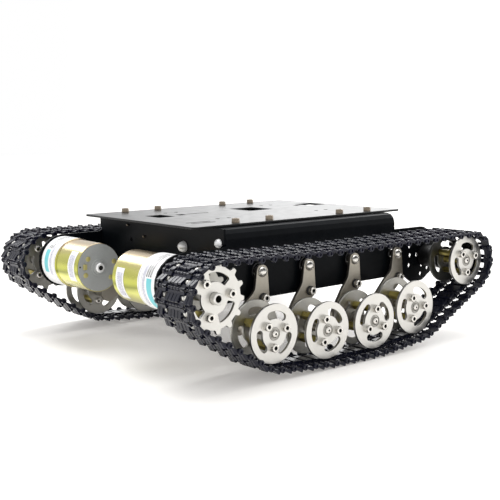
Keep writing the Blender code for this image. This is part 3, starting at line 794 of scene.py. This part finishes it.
def sprocket_pieces(name, side):
    """Two toothed discs with curved windows, their spacers and screws, and the hub."""
    body = name + "_sprocket"
    place = across(side)
    x, z = SPROCKET_X, SPROCKET_Z
    turn = TOOTH_PHASE[side] - TOOTH_PHASE[-1]
    # The inner disc takes a darker copy of the steel as painted shade
    for word, middle, finish in (("outer", DISC_OUT, "disc"), ("inner", DISC_IN, "painted_shade_steel")):
        windows = [window_outline(x, z, WINDOW_ANGLE + turn + 120 * i) for i in range(3)]
        disc = Shape()
        disc.plate(place, [sprocket_outline(side), circle(x, z, SPROCKET_BORE, 48)] + windows,
                   *disc_faces(middle), 0.2)
        disc.save(body + "_disc_" + word, [finish], body, [body + "_" + word], "disc_steel")
    fittings = Shape()
    for i in range(3):
        u, v = polar(x, z, SPROCKET_SCREW_RADIUS, SPROCKET_SCREW_ANGLE + turn + 120 * i)
        standoff(fittings, place, u, v, STANDOFF_RADIUS, 2)
        cap_screw(fittings, place, u, v, DISC_OUT + 1)
        button_screw(fittings, place, u, v, DISC_IN - 1, BACK_SCREW_RADIUS, -1)
    fittings.save(body + "_fittings", ("screw", "socket", "brass"), body)
    hub = Shape()
    tip, flange = DISC_OUT + 5.2, SIDE_OUT + 7.8
    hub.turned(place, x, z, [(SIDE_OUT + 2.1, 0), (SIDE_OUT + 2.1, 3), (flange, 3),
                             (flange, 6.7), (flange + 0.3, 7), (flange + 3.2, 7),
                             (flange + 3.5, 6.7), (flange + 3.5, 3.7), (tip - 0.4, 3.7),
                             (tip, 3.3), (tip, 2.4), (tip - 0.3, 2.1)], 0)
    # The hub's bore is near black: painted shade in the hollow
    hub.turned(place, x, z, [(tip - 0.3, 2.1), (DISC_OUT - 2, 2.1), (DISC_OUT - 2, 0)], 1)
    hub.save(body + "_hub", ("disc", "socket"), body, [name + "_drive_hub"], "disc_steel")


def window_outline(u, v, middle):
    """Curved window between two radii with softened corners."""
    a, b = middle - WINDOW_SPAN / 2, middle + WINDOW_SPAN / 2
    inner, outer, ease = WINDOW_INNER, WINDOW_OUTER, 4.0
    return (arc(u, v, outer, a + ease, b - ease, 16) + [polar(u, v, outer - 0.6, b - 0.8)]
            + [polar(u, v, inner + 0.6, b)] + arc(u, v, inner, b - ease, a + ease, 16)
            + [polar(u, v, inner + 0.6, a)] + [polar(u, v, outer - 0.6, a + 0.8)])


# ---------------------------------------------------------------- idler axles

def idler_axle(name, side):
    """Flanged axle on the front ear, with a brass spacer between the discs."""
    place = across(side)
    axle = Shape()
    axle.turned(place, IDLER_X, IDLER_Z, [
        (SIDE_OUT - 5.5, 0), (SIDE_OUT - 5.5, 3), (SIDE_OUT + GAP, 3), (SIDE_OUT + GAP, 8),
        (SIDE_OUT + GAP + 0.4, 8.4), (DISC_IN - 3.4, 8.4), (DISC_IN - 3, 8.0),
        (DISC_IN - 3, SPINDLE_RADIUS), (SPINDLE_END, SPINDLE_RADIUS), (SPINDLE_END, 0)], 0)
    axle.turned(place, IDLER_X, IDLER_Z, [
        (DISC_IN + 2, SPINDLE_RADIUS), (DISC_IN + 2, 3.6), (DISC_OUT - 2, 3.6),
        (DISC_OUT - 2, SPINDLE_RADIUS)], 3)
    button_screw(axle, place, IDLER_X, IDLER_Z, SPINDLE_END, SPINDLE_SCREW_RADIUS, 1, 1, 2)
    axle.save(name + "_idler_axle_set", ("axle", "screw", "socket", "brass"), "chassis",
              [name + "_idler_axle"], "dark_steel")


# ---------------------------------------------------------------- swing arms

def arm_outline(i):
    """Upright leg that bends back to the wheel's axle, with a lobe for the stop screw."""
    px, pz = ARM_PIVOT_X[i], ARM_PIVOT_Z
    wx, wz = WHEEL_X[i], WHEEL_Z[i]
    points = arc(px, pz, ARM_TOP_RADIUS, -4, 186, 24)
    knee, foot = Vector((px - 6.6, pz - 13.2)), Vector((wx - 6.2, wz + 7))
    above = Vector(points[-1]).lerp(knee, 0.75)
    below = knee.lerp(foot, 0.35)
    for k in range(7):
        share = k / 6
        points.append(tuple(above.lerp(knee, share).lerp(knee.lerp(below, share), share)))
    points += arc(wx, wz, ARM_FOOT_RADIUS, 160, 310, 20)
    return points + arc(px + ARM_STOP_AHEAD, pz - ARM_STOP_DROP, ARM_LOBE_RADIUS, 290, 356, 10)


def arm_piece(name, side, i):
    """One swing arm with its domed pivot, stop screw on a sleeve, and wheel spindle."""
    place = across(side)
    px, pz = ARM_PIVOT_X[i], ARM_PIVOT_Z
    sx, sz = px + ARM_STOP_AHEAD, pz - ARM_STOP_DROP
    wx, wz = WHEEL_X[i], WHEEL_Z[i]
    arm = Shape()
    arm.plate(place, [arm_outline(i)], ARM_IN, ARM_OUT, 0.25)
    arm.turned(place, px, pz, [(SIDE_OUT - SHEET, 0), (SIDE_OUT - SHEET, SPINDLE_RADIUS),
                               (ARM_IN + 0.5, SPINDLE_RADIUS)])
    domed_head(arm, place, px, pz, ARM_OUT, 3.5, 2.5, 1)
    sleeve_end = ARM_OUT + 1.0
    arm.turned(place, sx, sz, [(ARM_OUT, 3.3), (ARM_OUT + 0.8, 3.3), (sleeve_end, 3.0),
                               (sleeve_end, 1)], 3)
    cap_screw(arm, place, sx, sz, sleeve_end, 1, 1, 2)
    arm.turned(place, wx, wz, [(ARM_OUT - 0.5, 4.4), (DISC_IN - 3.3, 4.4), (DISC_IN - 3, 4.1),
                               (DISC_IN - 3, SPINDLE_RADIUS), (SPINDLE_END, SPINDLE_RADIUS),
                               (SPINDLE_END, 0)])
    button_screw(arm, place, wx, wz, SPINDLE_END, SPINDLE_SCREW_RADIUS, 1, 1, 2)
    arm.save(name + "_set", ("arm", "screw", "socket", "sleeve"), name, [name], "arm_steel")


def spring_piece(name, side, i):
    """Torsion spring: two close coils round the pivot."""
    px, pz = ARM_PIVOT_X[i], ARM_PIVOT_Z
    wire_radius, coil_radius, turns, steps = 0.55, 5.3, 1.6, 64
    low, high = SIDE_OUT + 0.9, ARM_IN - 0.9
    points = []
    for k in range(steps + 1):
        share = k / steps
        x, z = polar(px, pz, coil_radius, 250 + 360 * turns * share)
        points.append((x, side * (low + (high - low) * share), z))
    spring = Shape()
    spring.wire(points, wire_radius)
    spring.save(name + "_coil", ["spring"], "chassis", [name], "spring_steel")


# ---------------------------------------------------------------- motors

def motor_pieces(name, side):
    """Gearbox, can and end cap with their labels, which wrap just above the metal."""
    place = across(side)
    x, z = MOTOR_X, MOTOR_Z
    r = GEARBOX_RADIUS
    gearbox = Shape()
    gearbox.turned(place, x, z, [(GEARBOX_JOINT, 0), (GEARBOX_JOINT, r - 0.8),
                                 (GEARBOX_JOINT + 0.3, r - 0.3), (GEARBOX_JOINT + 0.8, r),
                                 (GEARBOX_FACE, r), (GEARBOX_FACE, 0)], 0, 96)
    gearbox.turned(place, SPROCKET_X, SPROCKET_Z, [
        (GEARBOX_FACE - 1, OUTPUT_BOSS_RADIUS), (SIDE_OUT + 1.5, OUTPUT_BOSS_RADIUS),
        (SIDE_OUT + 1.8, OUTPUT_BOSS_RADIUS - 0.3), (SIDE_OUT + 1.8, 0)], 0)
    for low, high, number in LABEL_BANDS:
        gearbox.turned(place, x, z, [(low, r + 0.09), (high, r + 0.09)], number, 96)
    stripe, span, code = LABEL_TURN[side]
    label_patch(gearbox, place, x, z, r + 0.12, STRIPE_DEPTHS, stripe, stripe + span, 2)
    label_patch(gearbox, place, x, z, r + 0.12, PRINT_DEPTHS, stripe - 72, stripe - 3, 4)
    label_patch(gearbox, place, x, z, r + 0.12, RULED_DEPTHS, stripe - 60, stripe + 60, 5)
    gearbox.save(name + "_gearbox_body", ("zinc", "label", "stripe", "rule", "print", "code"),
                 "chassis", [name + "_gearbox"], "yellow_zinc", 40)
    r = CAN_RADIUS
    can = Shape()
    can.turned(place, x, z, [(GEARBOX_JOINT - GAP, r - 1), (GEARBOX_JOINT - GAP, r),
                             (CAN_RIM + 0.3, r), (CAN_RIM, r - 0.3), (CAN_RIM, r - 1.2)], 0, 96)
    label_patch(can, place, x, z, r + 0.08, CAN_LABEL_DEPTHS, code, code + 74, 1)
    label_patch(can, place, x, z, r + 0.11, CAN_CODE_DEPTHS, code + 10, code + 64, 2)
    can.save(name + "_can", ("zinc", "label", "code"), "chassis", [name + "_motor_can"],
             "yellow_zinc")
    cap_piece(name, place, x, z)


def label_patch(shape, place, x, z, radius, depths, start, end, number, steps=32):
    """Patch of a label wrapped round a motor, between two depths and two angles."""
    ring = arc(x, z, radius, start, end, steps)
    rows = [[shape.corner(place, u, v, depth) for u, v in ring] for depth in depths]
    for k in range(steps):
        shape.face((rows[0][k], rows[0][k + 1], rows[1][k + 1], rows[1][k]), number)


def cap_piece(name, place, x, z):
    """Flat end cap with a raised collar, the shaft's end and brass terminals."""
    r = CAN_RADIUS - 0.5
    cap = Shape()
    cap.turned(place, x, z, [(CAN_RIM + 4, r - 1), (CAN_RIM + 0.3, r - 1), (CAN_RIM, r - 0.1),
                             (CAP_FACE, r - 0.4), (CAP_FACE, 6.1),
                             (CAP_FACE - 0.3, 5.8), (CAP_FACE - 0.3, 4.6),
                             (CAP_FACE - 0.8, 4.3), (CAP_FACE - 0.8, COLLAR_RADIUS)], 0, 96)
    cap.turned(place, x, z, [(CAP_FACE - 0.8, COLLAR_RADIUS), (CAP_FACE - 1.9, COLLAR_RADIUS),
                             (CAP_FACE - 2.6, 2.7), (CAP_FACE - 2.6, SHAFT_RADIUS)], 1)
    cap.turned(place, x, z, [(CAP_FACE - 2.6, SHAFT_RADIUS), (CAP_FACE - 1.4, 1.6),
                             (CAP_FACE - 1.4, 0)], 2)
    for angle, distance in TERMINALS:
        u, v = polar(x, z, distance, angle)
        cap.turned(place, u, v, [
            (CAP_FACE, TERMINAL_RADIUS), (CAP_FACE - 0.25, TERMINAL_RADIUS),
            (CAP_FACE - 0.45, TERMINAL_RADIUS - 0.4), (CAP_FACE - 0.45, 0)], 3, 24)
    u, v = polar(x, z, 11.6, 173)
    cap.plate(place, [rounded_box(u - 1.3, u + 1.3, v - 1.9, v + 1.9, 0.4)],
              CAP_FACE - 1.6, CAP_FACE, 0.2, 3)
    u, v = polar(x, z, 15.2, 174)
    cap.turned(place, u, v, [(CAP_FACE - 0.04, 0.7), (CAP_FACE - 0.05, 0)], 2, 16)
    cap.save(name + "_end_cap", ("cap", "bright", "socket", "terminal"),
             "chassis", [name + "_motor_cap"], "grey_cap")


# ---------------------------------------------------------------- hull

def deck_piece():
    """Equipment deck with its cut-outs, its screws and those on the rear panel."""
    outline = rounded_box(DECK_REAR, DECK_FRONT, -DECK_HALF_WIDTH, DECK_HALF_WIDTH, 3, 8)
    holes = [rounded_box(*box, 0.7) for box in DECK_CUTOUTS]
    holes += [circle(x, y, DECK_HOLE_RADIUS, 24) for x in DECK_HOLE_X for y in DECK_HOLE_Y]
    deck = Shape()
    deck.plate(UPRIGHT, [outline] + holes, DECK_TOP - SHEET, DECK_TOP, 0.2)
    deck.save("deck_sheet", ["deck"], "chassis", ["deck_plate"], "black_sheet")
    screws = Shape()
    under = DECK_TOP - SHEET
    for side, row in DECK_SCREW_X.items():
        for x in row:
            cap_screw(screws, UPRIGHT, x, side * DECK_SCREW_Y, DECK_TOP, 1, 2)
            screws.turned(UPRIGHT, x, side * DECK_SCREW_Y, [
                (under, SHANK_RADIUS), (under - SHANK_LENGTH, SHANK_RADIUS),
                (under - SHANK_LENGTH - 0.3, 0)], 2)
    for y, z, radius, height in REAR_HEADS:
        domed_head(screws, ON_REAR, y, z, -REAR_PANEL_FACE, radius, height, 3)
    for y, z in REAR_STUDS:
        button_screw(screws, ON_REAR, y, z, -REAR_PANEL_FACE, REAR_STUD_RADIUS, metal=2)
    screws.save("hull_screws", ("screw", "socket", "head", "bright"), "chassis")


def hull_finish():
    """Powder coat on the plates that are kept from the CAD model."""
    for node in ("right_side_plate", "left_side_plate", "rear_panel", "front_panel"):
        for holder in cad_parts[node].material_slots:
            holder.material = FINISH["powder"]


# ---------------------------------------------------------------- studio

CAMERA_TURN = (38.712, 7.268, -0.732)
CAMERA_PLACE = (-431.65, -547.6, 152.41)
CAMERA_LENS = 66.17
FLOOR_HALF_SIZE = 6.0
BRIGHT_SIDE = (0.95, 0.31, 0.0)
PLAIN_LIGHT, BRIGHT_LIGHT = 1.0, 2.9


def floor():
    """Wide pale floor that also glows a little: painted fill light that lightens the shadows round
    the object and keeps the floor white.
    """
    bm = bmesh.new()
    bmesh.ops.create_grid(bm, x_segments=1, y_segments=1, size=FLOOR_HALF_SIZE)
    mesh = bpy.data.meshes.new("floor")
    bm.to_mesh(mesh)
    bm.free()
    # The emission is painted fill light on the floor
    mesh.materials.append(grained("pale_floor_painted_fill_glow", (0.80, 0.785, 0.765), (0.83, 0.82, 0.80), 0.0,
                                  (0.5, 0.6), 4.0, 0.005, Emission_Strength=0.25,
                                  Emission_Color=(1.0, 0.96, 0.92, 1.0)))
    ground = bpy.data.objects.new("floor", mesh)
    bpy.context.scene.collection.objects.link(ground)


def camera():
    """Low three-quarter view from behind on the right, on a long lens."""
    yaw, pitch, roll = (math.radians(a) for a in CAMERA_TURN)
    ahead = Vector((math.sin(yaw) * math.cos(pitch), math.cos(yaw) * math.cos(pitch),
                    -math.sin(pitch)))
    right = Vector((math.cos(yaw), -math.sin(yaw), 0))
    up = right.cross(ahead)
    turned_right = right * math.cos(roll) + up * math.sin(roll)
    turned_up = up * math.cos(roll) - right * math.sin(roll)
    data = bpy.data.cameras.new("camera")
    data.lens, data.sensor_width = CAMERA_LENS, 36.0
    data.clip_start, data.clip_end = 0.05, 50
    eye = bpy.data.objects.new("camera", data)
    columns = Matrix((turned_right, turned_up, -ahead)).transposed()
    eye.matrix_world = Matrix.Translation(Vector(CAMERA_PLACE) * MM) @ columns.to_4x4()
    bpy.context.scene.collection.objects.link(eye)
    bpy.context.scene.camera = eye


def softbox(name, place, aim, size, power):
    """Round lamp at a place, facing its aim, in metres and watts."""
    data = bpy.data.lights.new(name, "AREA")
    data.shape = "DISK"
    data.size, data.energy = size, power
    lamp = bpy.data.objects.new(name, data)
    lamp.location = place
    lamp.rotation_euler = (Vector(aim) - Vector(place)).to_track_quat("-Z", "Y").to_euler()
    bpy.context.scene.collection.objects.link(lamp)


def studio_light():
    """White surround, brighter beyond the front of the object, and two soft lamps."""
    world = bpy.data.worlds.new("studio")
    bpy.context.scene.world = world
    world.use_nodes = True
    tree = world.node_tree
    surround = tree.nodes["Background"]
    surround.inputs["Color"].default_value = (1.0, 1.0, 1.0, 1.0)
    where = tree.nodes.new("ShaderNodeTexCoord")
    facing = tree.nodes.new("ShaderNodeVectorMath")
    facing.operation = "DOT_PRODUCT"
    facing.inputs[1].default_value = BRIGHT_SIDE
    strength = tree.nodes.new("ShaderNodeMapRange")
    strength.inputs["From Min"].default_value = 0.715
    strength.inputs["From Max"].default_value = 0.85
    strength.inputs["To Min"].default_value = PLAIN_LIGHT
    strength.inputs["To Max"].default_value = BRIGHT_LIGHT
    tree.links.new(where.outputs["Generated"], facing.inputs[0])
    tree.links.new(facing.outputs["Value"], strength.inputs["Value"])
    tree.links.new(strength.outputs["Result"], surround.inputs["Strength"])
    softbox("overhead", (0.15, 0.25, 1.3), (0, 0, 0), 1.1, 13)
    softbox("behind", (-0.2, 1.3, 1.05), (0, 0, 0.05), 0.6, 5.5)


def main():
    settings = bpy.context.scene.view_settings
    settings.view_transform = "Standard"
    deck_piece()
    hull_finish()
    for name, side in (("right", -1), ("left", 1)):
        track_piece(name + "_track", side)
        sprocket_pieces(name, side)
        motor_pieces(name, side)
        # Idler inner discs get the deepest painted shade, wheel inner discs a lighter painted
        # shade
        wheel_pieces(name + "_idler", side, IDLER_X, IDLER_Z, IDLER_RADIUS, IDLER_SLOT_ANGLE,
                     IDLER_STANDOFF_RADIUS, "shaded")
        idler_axle(name, side)
        for i in range(4):
            number = "_" + str(i + 1)
            arm_piece(name + "_arm" + number, side, i)
            spring_piece(name + "_spring" + number, side, i)
            wheel_pieces(name + "_wheel" + number, side, WHEEL_X[i], WHEEL_Z[i], WHEEL_RADIUS,
                         SLOT_ANGLES[i], STANDOFF_RADIUS, "painted_shade_steel")
    floor()
    camera()
    studio_light()


main()
